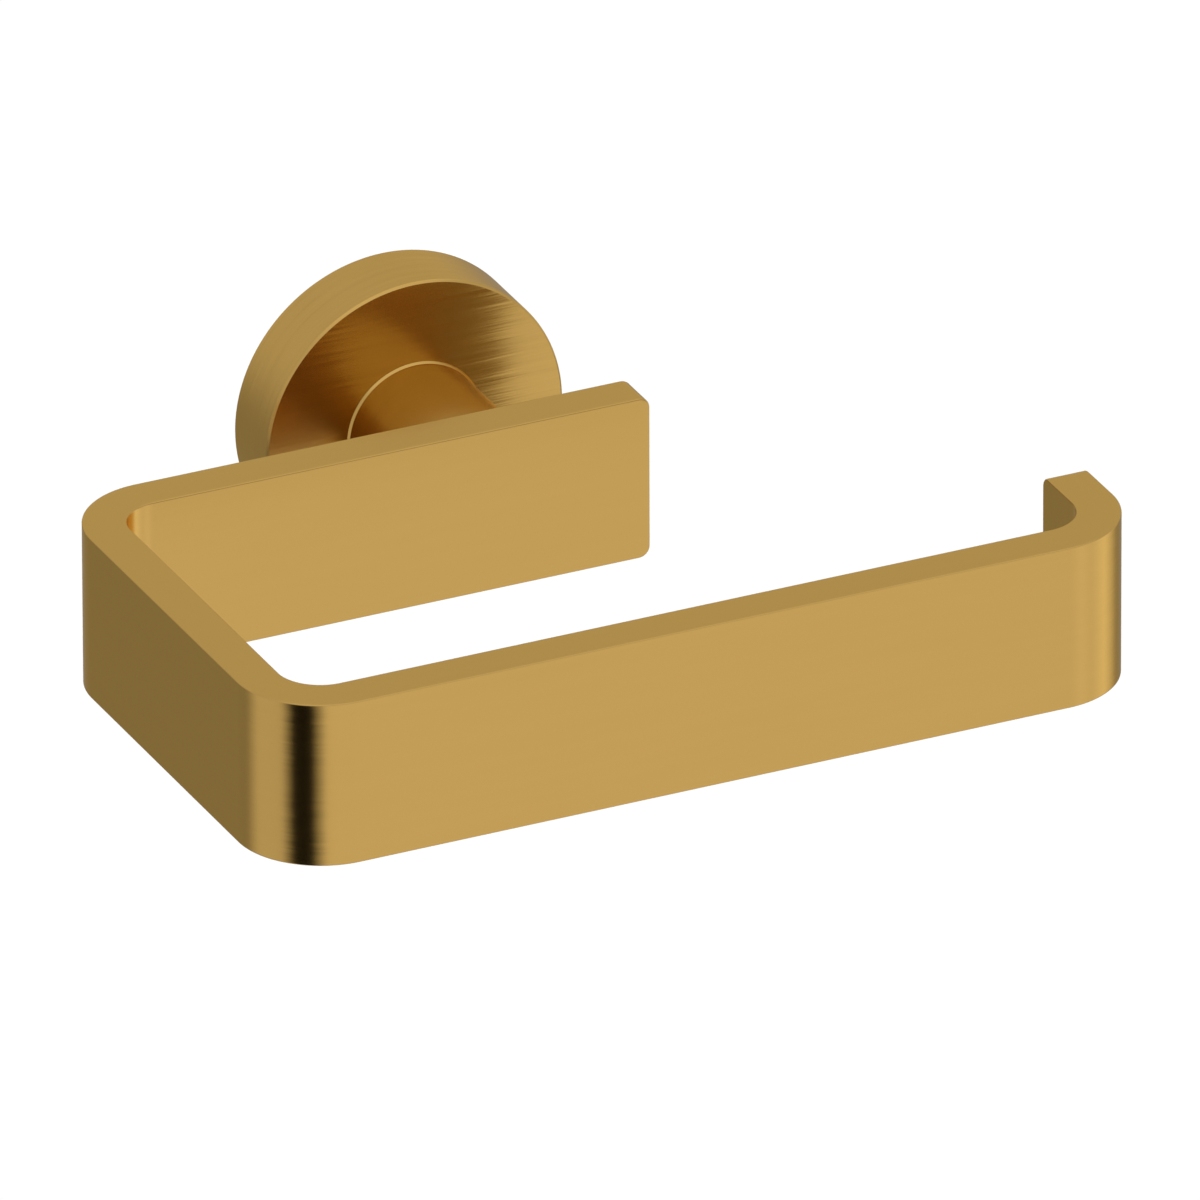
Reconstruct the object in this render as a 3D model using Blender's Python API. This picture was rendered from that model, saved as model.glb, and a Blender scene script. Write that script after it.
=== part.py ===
"""Toilet paper holder: a flat bar bent in plan, on a round post and a wall rose.

Metres, +Z up. The origin is on the wall, at the centre of the rose. +X runs to the right along the
wall and +Y into it, so the holder stands out from the wall towards -Y.
"""
import math

import bmesh
import bpy

MM = 0.001
GAP = 0.3 * MM  # clearance between pieces that touch on the real object

# Flat bar, seen from above
BAR_HEIGHT = 30.0 * MM
BAR_THICKNESS = 7.6 * MM
BAR_WIDTH = 161.4 * MM
BAR_DEPTH = 89.1 * MM
BAR_BEND_RADIUS = 15.3 * MM  # at the outer face
BAR_BACK_LENGTH = 107.1 * MM  # left side to the free end of the back plate
BAR_LIP_LENGTH = 26.4 * MM  # front face to the end of the lip
BAR_END_RADIUS = 2.0 * MM
BAR_EDGE_EASE = 0.4 * MM
BAR_AXIS_FROM_LEFT = 78.9 * MM

# Wall rose
ROSE_RADIUS = 27.6 * MM
ROSE_DEPTH = 12.7 * MM
ROSE_WALL = 2.4 * MM
ROSE_CHAMFER = 0.4 * MM

# Round post
POST_LENGTH = 25.5 * MM
POST_RADIUS = 12.3 * MM
POST_FOOT_RADIUS = 12.7 * MM
SPIGOT_RADIUS = 8.0 * MM

# Wall bracket inside the rose
BRACKET_RADIUS = 22.5 * MM
BRACKET_RIM = 2.6 * MM
BRACKET_FLOOR = 2.5 * MM
BRACKET_DEPTH = 8.0 * MM
GROOVE_DEPTH = 0.8 * MM
GROOVE_HALF_WIDTH = 1.4 * MM
GRUB_FROM_WALL = 5.0 * MM
SLOT_LENGTH = 7.0 * MM

# Fasteners
M6_RADIUS = 3.0 * MM
BOLT_LENGTH = 14.0 * MM
BOLT_HEAD_RADIUS = 5.25 * MM
BOLT_HEAD_HEIGHT = 3.3 * MM
BOLT_KEY = 4.0 * MM  # across the flats of the hexagon socket
WASHER_RADIUS = 9.0 * MM
WASHER_THICKNESS = 1.2 * MM
SPRING_RADIUS = 5.9 * MM
SPRING_THICKNESS = 1.4 * MM
SPRING_SPLIT = 1.0 * MM
STUD_DEPTH_IN_BAR = 5.5 * MM
STUD_DEPTH_IN_POST = 10.0 * MM
DOWEL_RADIUS = 1.5 * MM
DOWEL_OFFSET = 7.5 * MM
DOWEL_DEPTH = 5.0 * MM
KEY_RADIUS = 1.2 * MM
KEY_OFFSET = 10.1 * MM
KEY_DEPTH = 4.5 * MM
GRUB_RADIUS = 2.0 * MM
GRUB_LENGTH = 5.0 * MM
GRUB_KEY = 2.0 * MM
WALL_SCREW_OFFSET = 12.5 * MM  # from the axis, on a line that climbs to the right
WALL_SCREW_ANGLE = 45.0
WALL_SCREW_RADIUS = 2.0 * MM
WALL_SCREW_CORE = 1.5 * MM
WALL_SCREW_LENGTH = 25.0 * MM
WALL_SCREW_PITCH = 1.8 * MM
WALL_SCREW_HEAD_RADIUS = 4.0 * MM
WALL_SCREW_HEAD_HEIGHT = 2.6 * MM
SCREW_WASHER_RADIUS = 4.5 * MM
SCREW_WASHER_THICKNESS = 0.8 * MM
PLUG_RADIUS = 3.0 * MM
PLUG_LENGTH = 24.0 * MM
PLUG_RECESS = 2.5 * MM  # the plug sits this far below the surface of the tile
PLUG_BARB = 0.35 * MM
PLUG_SLIT = 0.8 * MM

# Facets round a full turn
FINE_STEPS = 64
BOLT_STEPS = 20
BEND_STEPS = 12

STANDOFF = ROSE_DEPTH + POST_LENGTH  # wall to the back of the bar


def clear_scene():
    for item in list(bpy.data.objects):
        bpy.data.objects.remove(item, do_unlink=True)


def make_material(name, colour, roughness, metallic):
    material = bpy.data.materials.new(name)
    material.use_nodes = True
    shader = material.node_tree.nodes["Principled BSDF"]
    shader.inputs["Base Color"].default_value = (*colour, 1.0)
    shader.inputs["Roughness"].default_value = roughness
    shader.inputs["Metallic"].default_value = metallic
    return material


def add_object(name, bm, material, place, turn):
    """Turn a bmesh into an object of the holder."""
    mesh = bpy.data.meshes.new(name)
    bmesh.ops.recalc_face_normals(bm, faces=bm.faces)
    bm.to_mesh(mesh)
    bm.free()
    mesh.shade_smooth()
    mesh.set_sharp_from_angle(angle=math.radians(35))
    item = bpy.data.objects.new(name, mesh)
    bpy.context.collection.objects.link(item)
    item.location = place
    item.rotation_euler = turn
    item.parent = HOLDER
    if material is None:
        item.hide_render = True
        item.display_type = "WIRE"
    else:
        mesh.materials.append(material)
    return item


# Turned pieces are drawn as (radius, distance out from the wall) and lie along their own Z axis,
# which this turn points out of the wall.
OUT_OF_WALL = (math.pi / 2, 0.0, 0.0)
UPWARDS = (0.0, 0.0, 0.0)


def turned(name, profile, material, steps=BOLT_STEPS, place=(0, 0, 0), turn=OUT_OF_WALL, ring=False):
    """Spin a profile about Z. A ring's profile is a closed loop clear of the axis."""
    bm = bmesh.new()
    points = [bm.verts.new((radius, 0.0, height)) for radius, height in profile]
    edges = [bm.edges.new(pair) for pair in zip(points, points[1:])]
    if ring:
        edges.append(bm.edges.new((points[-1], points[0])))
    bmesh.ops.spin(
        bm,
        geom=points + edges,
        cent=(0, 0, 0),
        axis=(0, 0, 1),
        angle=math.tau,
        steps=steps,
        use_merge=True,
    )
    bmesh.ops.remove_doubles(bm, verts=bm.verts, dist=1e-6)
    return add_object(name, bm, material, place, turn)


def rod_cutter(name, radius, low, high, place=(0, 0, 0), turn=OUT_OF_WALL, steps=BOLT_STEPS):
    profile = [(0, low), (radius, low), (radius, high), (0, high)]
    return turned(name, profile, None, steps, place, turn)


def box_cutter(name, size, centre, place=(0, 0, 0), turn=OUT_OF_WALL, skew=0.0):
    """A box, which skew leans over along X from bottom to top."""
    bm = bmesh.new()
    bmesh.ops.create_cube(bm, size=1.0)
    for vertex in bm.verts:
        lean = skew * vertex.co.z
        vertex.co = [centre[i] + size[i] * vertex.co[i] for i in range(3)]
        vertex.co.x += lean
    return add_object(name, bm, None, place, turn)


def slot_cutter(name, radius, length, across, place):
    """An upright or level slot with round ends, through the bracket's floor."""
    half = length / 2 - radius
    outline = []
    for side in (1, -1):
        for step in range(BEND_STEPS + 1):
            angle = math.pi * step / BEND_STEPS - math.pi / 2
            along = side * (half + radius * math.cos(angle))
            aside = side * radius * math.sin(angle)
            outline.append((along, aside) if across else (-aside, along))
    bm = bmesh.new()
    face = bm.faces.new([bm.verts.new((x, y, -MM)) for x, y in outline])
    grown = bmesh.ops.extrude_face_region(bm, geom=[face])
    top = [item for item in grown["geom"] if isinstance(item, bmesh.types.BMVert)]
    bmesh.ops.translate(bm, verts=top, vec=(0, 0, BRACKET_FLOOR + 2 * MM))
    return add_object(name, bm, None, place, OUT_OF_WALL)


def cut(item, *cutters):
    for cutter in cutters:
        modifier = item.modifiers.new(cutter.name, "BOOLEAN")
        modifier.operation = "DIFFERENCE"
        modifier.solver = "EXACT"
        modifier.object = cutter


def arc(centre, radius, start, end):
    """Points of an arc in plan, angles in degrees."""
    for step in range(BEND_STEPS + 1):
        angle = math.radians(start + (end - start) * step / BEND_STEPS)
        yield centre[0] + radius * math.cos(angle), centre[1] + radius * math.sin(angle)


def make_bar(material):
    """The bar stands on its plan outline: outer faces first, then back along the inner ones."""
    left = -BAR_AXIS_FROM_LEFT
    right = left + BAR_WIDTH
    front = -BAR_DEPTH
    bends = [
        ((left + BAR_BEND_RADIUS, -BAR_BEND_RADIUS), 90),
        ((left + BAR_BEND_RADIUS, front + BAR_BEND_RADIUS), 180),
        ((right - BAR_BEND_RADIUS, front + BAR_BEND_RADIUS), 270),
    ]
    back_end = left + BAR_BACK_LENGTH
    lip_end = front + BAR_LIP_LENGTH
    outline = [(back_end, 0.0)]
    for centre, start in bends:
        outline += arc(centre, BAR_BEND_RADIUS, start, start + 90)
    outline += [(right, lip_end), (right - BAR_THICKNESS, lip_end)]
    for centre, start in reversed(bends):
        outline += arc(centre, BAR_BEND_RADIUS - BAR_THICKNESS, start + 90, start)
    outline.append((back_end, -BAR_THICKNESS))

    bm = bmesh.new()
    face = bm.faces.new([bm.verts.new((x, y, -BAR_HEIGHT / 2)) for x, y in outline])
    grown = bmesh.ops.extrude_face_region(bm, geom=[face])
    top = [item for item in grown["geom"] if isinstance(item, bmesh.types.BMVert)]
    bmesh.ops.translate(bm, verts=top, vec=(0, 0, BAR_HEIGHT))

    def at_free_end(edge):
        middle = (edge.verts[0].co + edge.verts[1].co) / 2
        level = abs(edge.verts[0].co.z - edge.verts[1].co.z) < GAP
        return level and (abs(middle.x - back_end) < GAP or abs(middle.y - lip_end) < GAP)

    bmesh.ops.bevel(
        bm,
        geom=[edge for edge in bm.edges if at_free_end(edge)],
        offset=BAR_END_RADIUS,
        segments=5,
        profile=0.5,
        affect="EDGES",
    )
    bar = add_object("strap", bm, material, (0, -STANDOFF, 0), UPWARDS)
    ease = bar.modifiers.new("eased_edges", "BEVEL")
    ease.width = BAR_EDGE_EASE
    ease.segments = 2
    ease.limit_method = "ANGLE"
    ease.angle_limit = math.radians(30)

    holes = [rod_cutter("stud_hole_in_bar", M6_RADIUS + GAP, STANDOFF - MM, STANDOFF + STUD_DEPTH_IN_BAR)]
    for side, name in ((-1, "left"), (1, "right")):
        holes.append(
            rod_cutter(
                "dowel_hole_in_bar_" + name,
                DOWEL_RADIUS + GAP,
                STANDOFF - MM,
                STANDOFF + DOWEL_DEPTH,
                (side * DOWEL_OFFSET, 0, 0),
            )
        )
    cut(bar, *holes)


def make_post(material):
    foot = ROSE_DEPTH + GAP
    foot_height = POST_FOOT_RADIUS - POST_RADIUS
    spigot_end = ROSE_DEPTH - ROSE_WALL + GAP
    front = STANDOFF - GAP
    profile = [
        (0, spigot_end),
        (SPIGOT_RADIUS, spigot_end),
        (SPIGOT_RADIUS, foot),
        (POST_FOOT_RADIUS, foot),
        (POST_RADIUS, foot + foot_height),
        (POST_RADIUS, front),
        (0, front),
    ]
    post = turned("post", profile, material, FINE_STEPS)
    bolt_tip = bolt_seat() - BOLT_LENGTH
    holes = [
        rod_cutter("stud_hole_in_post", M6_RADIUS + GAP, STANDOFF - STUD_DEPTH_IN_POST, STANDOFF + MM),
        rod_cutter("bolt_hole_in_post", M6_RADIUS + GAP, spigot_end - MM, bolt_seat() + BOLT_LENGTH + MM),
        rod_cutter("key_hole_in_post", KEY_RADIUS + GAP, foot - MM, foot + KEY_DEPTH, (0, 0, KEY_OFFSET)),
    ]
    for side, name in ((-1, "left"), (1, "right")):
        holes.append(
            rod_cutter(
                "dowel_hole_in_post_" + name,
                DOWEL_RADIUS + GAP,
                STANDOFF - DOWEL_DEPTH,
                STANDOFF + MM,
                (side * DOWEL_OFFSET, 0, 0),
            )
        )
    cut(post, *holes)


def make_rose(material):
    inside = ROSE_DEPTH - ROSE_WALL
    profile = [
        (SPIGOT_RADIUS + GAP, ROSE_DEPTH),
        (ROSE_RADIUS - ROSE_CHAMFER, ROSE_DEPTH),
        (ROSE_RADIUS, ROSE_DEPTH - ROSE_CHAMFER),
        (ROSE_RADIUS, 0),
        (ROSE_RADIUS - ROSE_WALL, 0),
        (ROSE_RADIUS - ROSE_WALL, inside),
        (SPIGOT_RADIUS + GAP, inside),
    ]
    rose = turned("rose", profile, material, FINE_STEPS, ring=True)
    grub_place = (0, -GRUB_FROM_WALL, 0)
    cut(
        rose,
        rod_cutter("key_hole_in_rose", KEY_RADIUS + GAP, inside - MM, ROSE_DEPTH + MM, (0, 0, KEY_OFFSET)),
        rod_cutter(
            "grub_hole_in_rose", GRUB_RADIUS + GAP, -ROSE_RADIUS - MM, -BRACKET_RADIUS, grub_place, UPWARDS
        ),
    )


def wall_screw_place(side):
    angle = math.radians(WALL_SCREW_ANGLE)
    return side * WALL_SCREW_OFFSET * math.cos(angle), 0.0, side * WALL_SCREW_OFFSET * math.sin(angle)


def make_bracket(material):
    inner = BRACKET_RADIUS - BRACKET_RIM
    profile = [
        (0, 0),
        (BRACKET_RADIUS, 0),
        (BRACKET_RADIUS, GRUB_FROM_WALL - GROOVE_HALF_WIDTH),
        (BRACKET_RADIUS - GROOVE_DEPTH, GRUB_FROM_WALL),
        (BRACKET_RADIUS, GRUB_FROM_WALL + GROOVE_HALF_WIDTH),
        (BRACKET_RADIUS, BRACKET_DEPTH),
        (inner, BRACKET_DEPTH),
        (inner, BRACKET_FLOOR),
        (0, BRACKET_FLOOR),
    ]
    bracket = turned("wall_bracket", profile, material, FINE_STEPS)
    radius = WALL_SCREW_RADIUS + GAP
    cut(
        bracket,
        slot_cutter("upper_slot", radius, SLOT_LENGTH, True, wall_screw_place(1)),
        slot_cutter("lower_slot", radius, SLOT_LENGTH, False, wall_screw_place(-1)),
    )


def washer(name, outer, inner, low, thickness, material, place=(0, 0, 0)):
    high = low + thickness
    profile = [(inner, low), (outer, low), (outer, high), (inner, high)]
    return turned(name, profile, material, ring=True, place=place)


def bolt_seat():
    """Distance from the wall to the under side of the bolt's head."""
    return ROSE_DEPTH - ROSE_WALL - 3 * GAP - WASHER_THICKNESS - SPRING_THICKNESS


def make_post_bolt(material):
    """The stack inside the rose: plain washer, spring washer, then a button head."""
    washer_low = ROSE_DEPTH - ROSE_WALL - GAP - WASHER_THICKNESS
    spring_low = washer_low - GAP - SPRING_THICKNESS
    hole = M6_RADIUS + GAP
    washer("plain_washer", WASHER_RADIUS, hole, washer_low, WASHER_THICKNESS, material)
    spring = washer("spring_washer", SPRING_RADIUS, hole, spring_low, SPRING_THICKNESS, material)
    middle = (hole + SPRING_RADIUS) / 2
    cut(
        spring,
        box_cutter(
            "spring_split",
            (SPRING_SPLIT, 2 * (SPRING_RADIUS - hole), 2 * SPRING_THICKNESS),
            (0, middle, spring_low + SPRING_THICKNESS / 2),
            skew=SPRING_THICKNESS,
        ),
    )
    seat = bolt_seat()
    dome = [
        (BOLT_HEAD_RADIUS * math.cos(angle), seat - BOLT_HEAD_HEIGHT * math.sin(angle))
        for angle in (math.radians(15 * step) for step in range(5))
    ]
    profile = [(0, seat - BOLT_HEAD_HEIGHT * math.sin(math.radians(60)))] + dome[::-1]
    profile += [(M6_RADIUS, seat), (M6_RADIUS, seat + BOLT_LENGTH), (0, seat + BOLT_LENGTH)]
    bolt = turned("post_bolt", profile, material)
    cut(
        bolt,
        rod_cutter("bolt_socket", BOLT_KEY / math.sqrt(3), seat - 2 * BOLT_HEAD_HEIGHT, seat - MM, steps=6),
    )


def make_joint_pieces(material):
    """Stud and dowels between bar and post, and the key between post and rose."""

    def pin(name, radius, low, high, place=(0, 0, 0)):
        tip = radius / 4
        profile = [(0, low), (radius - tip, low), (radius, low + tip)]
        profile += [(radius, high - tip), (radius - tip, high), (0, high)]
        turned(name, profile, material, place=place)

    low = STANDOFF - STUD_DEPTH_IN_POST + GAP
    pin("joint_stud", M6_RADIUS, low, STANDOFF + STUD_DEPTH_IN_BAR - GAP)
    for side, name in ((-1, "left"), (1, "right")):
        low = STANDOFF - DOWEL_DEPTH + GAP
        high = STANDOFF + DOWEL_DEPTH - GAP
        pin("dowel_pin_" + name, DOWEL_RADIUS, low, high, (side * DOWEL_OFFSET, 0, 0))
    low = ROSE_DEPTH - ROSE_WALL + GAP
    pin("key_pin", KEY_RADIUS, low, ROSE_DEPTH + KEY_DEPTH, (0, 0, KEY_OFFSET))


def make_grub_screw(material):
    """Cup point set screw, socket down, from just inside the rose's surface to the groove."""
    rim = GRUB_RADIUS / 4
    groove_at_rim = GROOVE_DEPTH * (1 - rim / GROOVE_HALF_WIDTH)
    top = -BRACKET_RADIUS + groove_at_rim - GAP
    low = top - GRUB_LENGTH
    profile = [
        (0, low),
        (GRUB_RADIUS, low),
        (GRUB_RADIUS, top - GRUB_RADIUS + rim),
        (rim, top),
        (0, top - rim / 2),
    ]
    place = (0, -GRUB_FROM_WALL, 0)
    grub = turned("grub_screw", profile, material, place=place, turn=UPWARDS)
    socket = rod_cutter(
        "grub_socket", GRUB_KEY / math.sqrt(3), low - MM, low + GRUB_KEY, place, UPWARDS, steps=6
    )
    cut(grub, socket)


def make_wall_fixing(name, side, steel, nylon):
    """One wall screw with its washer and plug. Distances below zero are inside the wall."""
    place = wall_screw_place(side)
    washer_low = BRACKET_FLOOR + GAP
    hole = WALL_SCREW_RADIUS + GAP
    washer(
        "screw_washer_" + name, SCREW_WASHER_RADIUS, hole, washer_low, SCREW_WASHER_THICKNESS, steel, place
    )
    seat = washer_low + SCREW_WASHER_THICKNESS + GAP
    top = seat + WALL_SCREW_HEAD_HEIGHT
    tip = seat - WALL_SCREW_LENGTH
    thread_top = -WALL_SCREW_PITCH
    turns = int((thread_top - tip) / WALL_SCREW_PITCH) - 1
    profile = [(0, top), (WALL_SCREW_HEAD_RADIUS * 0.6, top)]
    profile += [(WALL_SCREW_HEAD_RADIUS, top - WALL_SCREW_HEAD_HEIGHT / 2), (WALL_SCREW_HEAD_RADIUS, seat)]
    profile += [(WALL_SCREW_RADIUS, seat), (WALL_SCREW_RADIUS, thread_top)]
    for turn in range(turns):
        low = thread_top - turn * WALL_SCREW_PITCH
        profile.append((WALL_SCREW_CORE, low - WALL_SCREW_PITCH / 2))
        profile.append((WALL_SCREW_RADIUS, low - WALL_SCREW_PITCH))
    profile += [(WALL_SCREW_CORE, profile[-1][1] - WALL_SCREW_PITCH / 2), (0, tip)]
    screw = turned("wall_screw_" + name, profile, steel, place=place)
    arm = (WALL_SCREW_HEAD_RADIUS, WALL_SCREW_RADIUS / 2, WALL_SCREW_HEAD_HEIGHT)
    centre = (0, 0, top)
    cut(
        screw,
        box_cutter("cross_recess_a_" + name, arm, centre, place),
        box_cutter("cross_recess_b_" + name, (arm[1], arm[0], arm[2]), centre, place),
    )

    plug_top = -PLUG_RECESS
    plug_end = plug_top - PLUG_LENGTH
    barbs = 6
    step = PLUG_LENGTH / 2 / barbs
    profile = [(hole, plug_end), (PLUG_RADIUS - PLUG_BARB, plug_end)]
    for barb in range(barbs):
        low = plug_end + barb * step
        profile.append((PLUG_RADIUS, low + step * 0.8))
        profile.append((PLUG_RADIUS - PLUG_BARB, low + step))
    profile += [(PLUG_RADIUS, plug_end + PLUG_LENGTH / 2 + step), (PLUG_RADIUS, plug_top), (hole, plug_top)]
    plug = turned("wall_plug_" + name, profile, nylon, ring=True, place=place)
    slit_length = PLUG_LENGTH * 0.7
    cut(
        plug,
        box_cutter(
            "plug_slit_" + name,
            (PLUG_SLIT, 3 * PLUG_RADIUS, slit_length),
            (0, 0, plug_end + slit_length / 2 - MM),
            place,
        ),
    )


clear_scene()
HOLDER = bpy.data.objects.new("holder", None)
bpy.context.collection.objects.link(HOLDER)

brushed_gold = make_material("brushed_gold", (0.54, 0.34, 0.10), 0.28, 1.0)
steel = make_material("stainless_steel", (0.52, 0.52, 0.51), 0.35, 1.0)
bracket_steel = make_material("bracket_steel", (0.42, 0.43, 0.44), 0.5, 1.0)
nylon = make_material("grey_nylon", (0.55, 0.56, 0.57), 0.6, 0.0)

make_bar(brushed_gold)
make_post(brushed_gold)
make_rose(brushed_gold)
make_bracket(bracket_steel)
make_post_bolt(steel)
make_joint_pieces(steel)
make_grub_screw(steel)
make_wall_fixing("upper", 1, steel, nylon)
make_wall_fixing("lower", -1, steel, nylon)
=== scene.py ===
import math

import bmesh
import bpy
from mathutils import Matrix, Vector


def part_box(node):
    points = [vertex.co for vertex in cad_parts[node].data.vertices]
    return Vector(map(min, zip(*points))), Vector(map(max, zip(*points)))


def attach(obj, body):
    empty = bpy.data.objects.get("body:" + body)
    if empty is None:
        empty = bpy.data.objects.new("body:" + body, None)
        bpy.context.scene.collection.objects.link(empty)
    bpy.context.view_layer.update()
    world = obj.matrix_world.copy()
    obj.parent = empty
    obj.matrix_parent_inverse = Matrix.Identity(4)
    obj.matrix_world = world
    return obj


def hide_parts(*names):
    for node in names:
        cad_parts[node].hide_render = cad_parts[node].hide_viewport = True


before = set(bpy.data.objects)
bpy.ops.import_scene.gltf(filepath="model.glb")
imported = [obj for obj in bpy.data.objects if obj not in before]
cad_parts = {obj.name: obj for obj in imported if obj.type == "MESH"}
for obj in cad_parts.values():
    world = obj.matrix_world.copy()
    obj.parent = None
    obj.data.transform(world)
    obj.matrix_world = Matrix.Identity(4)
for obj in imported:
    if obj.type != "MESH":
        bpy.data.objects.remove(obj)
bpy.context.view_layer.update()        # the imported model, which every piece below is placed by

mm = 0.001
near = 0.01 * mm        # how close a point has to be to count as on a face
past = 1 * mm           # how far a cutter sticks out of what it cuts
hairline = 0.02 * mm    # between the post and its two neighbours
playGap = 0.3 * mm      # between the screw head and its washer

print("frame loaded:", len(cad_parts), "nodes")


# helpers for working in object and edit mode

def deselectAll():
    bpy.ops.object.select_all(action="DESELECT")


def activate(piece):
    deselectAll()
    piece.select_set(True)
    bpy.context.view_layer.objects.active = piece


def openEdit(piece):
    activate(piece)
    bpy.ops.object.mode_set(mode="EDIT")
    bpy.ops.mesh.select_mode(type="FACE")
    bpy.ops.mesh.select_all(action="DESELECT")


def closeEdit():
    bpy.ops.object.mode_set(mode="OBJECT")


def pickFaces(piece, test):
    # selects the faces whose middle and normal pass the test, and nothing else
    bpy.ops.mesh.select_mode(type="FACE")
    bpy.ops.mesh.select_all(action="DESELECT")
    shape = bmesh.from_edit_mesh(piece.data)
    for face in shape.faces:
        face.select_set(bool(test(face.calc_center_median(), face.normal)))
    bmesh.update_edit_mesh(piece.data)


def pickEdges(piece, test):
    # selects the edges whose two ends pass the test, and nothing else
    bpy.ops.mesh.select_mode(type="EDGE")
    bpy.ops.mesh.select_all(action="DESELECT")
    shape = bmesh.from_edit_mesh(piece.data)
    for edge in shape.edges:
        edge.select_set(bool(test(edge.verts[0].co, edge.verts[1].co)))
    bmesh.update_edit_mesh(piece.data)


def settle(piece):
    # puts the piece's place and turn into its mesh
    activate(piece)
    bpy.ops.object.transform_apply(location=True, rotation=True, scale=True)


def addModifier(piece, kind, name, **settings):
    modifier = piece.modifiers.new(name, kind)
    for key, value in settings.items():
        setattr(modifier, key, value)
    activate(piece)
    bpy.ops.object.modifier_apply(modifier=modifier.name)


def easeEdges(piece, width, segments=3, angle=30):
    # a small round on every sharp edge, with the flats kept optically flat
    addModifier(piece, "BEVEL", "ease", width=width, segments=segments, limit_method="ANGLE",
                angle_limit=math.radians(angle), miter_outer="MITER_ARC", use_clamp_overlap=True)
    activate(piece)
    bpy.ops.object.shade_smooth_by_angle(angle=math.radians(40))
    addModifier(piece, "WEIGHTED_NORMAL", "flats", mode="FACE_AREA", weight=100, keep_sharp=True)


def carve(piece, *tools):
    for tool in tools:
        addModifier(piece, "BOOLEAN", "carve", operation="DIFFERENCE", solver="EXACT", object=tool)
        bpy.data.objects.remove(tool, do_unlink=True)


def rod(name, radius, start, end, sides=48, x=0.0, z=0.0):
    # a round bar along the wall's normal, from start to end in Y
    deselectAll()
    bpy.ops.mesh.primitive_cylinder_add(vertices=sides, radius=radius, depth=end - start,
                                        location=(x, (start + end) / 2, z), rotation=(math.pi / 2, 0, 0))
    piece = bpy.context.object
    piece.name = piece.data.name = name
    settle(piece)
    return piece


class Value:
    # wraps a shader socket, so that expressions on it add their own Math nodes
    def __init__(self, graph, socket):
        self.graph = graph
        self.socket = socket

    def __add__(self, other):
        return self.graph.maths("ADD", self, other)

    def __radd__(self, other):
        return self.graph.maths("ADD", other, self)

    def __sub__(self, other):
        return self.graph.maths("SUBTRACT", self, other)

    def __rsub__(self, other):
        return self.graph.maths("SUBTRACT", other, self)

    def __mul__(self, other):
        return self.graph.maths("MULTIPLY", self, other)

    def __rmul__(self, other):
        return self.graph.maths("MULTIPLY", other, self)

    def __truediv__(self, other):
        return self.graph.maths("DIVIDE", self, other)

    def __rtruediv__(self, other):
        return self.graph.maths("DIVIDE", other, self)


class Graph:
    # one node tree; add() makes any node, with its settings first and then its sockets,
    # and gives back one output or a list of several
    def __init__(self, tree):
        self.tree = tree
        tree.nodes.clear()

    def add(self, kind, settings, sockets, output=0):
        node = self.tree.nodes.new(kind)
        for key, value in settings.items():
            if key == "stops":
                self.setStops(node.color_ramp, value)
            else:
                setattr(node, key, value)
        for key, value in sockets.items():
            if isinstance(value, Value):
                self.tree.links.new(value.socket, node.inputs[key])
            else:
                node.inputs[key].default_value = value
        if isinstance(output, tuple):
            return [Value(self, node.outputs[key]) for key in output]
        if node.outputs:
            return Value(self, node.outputs[output])

    def setStops(self, ramp, stops):
        while len(ramp.elements) < len(stops):
            ramp.elements.new(0.5)
        for element, (place, level) in zip(ramp.elements, sorted(stops)):
            element.position = place
            element.color = (level, level, level, 1)

    def maths(self, operation, *values):
        return self.add("ShaderNodeMath", {"operation": operation}, dict(enumerate(values)))

    def vectors(self, operation, *values):
        return self.add("ShaderNodeVectorMath", {"operation": operation}, dict(enumerate(values)))

    def mixColours(self, amount, first, second):
        return self.add("ShaderNodeMix", {"data_type": "RGBA"}, {0: amount, 6: first, 7: second}, 2)

    def noise(self, place, scale, detail=2.0):
        return self.add("ShaderNodeTexNoise", {}, {"Vector": place, "Scale": scale, "Detail": detail})


def mixedTone(colour, tone):
    return tuple(min(part * tone, 1) for part in colour) + (1,)


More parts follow.
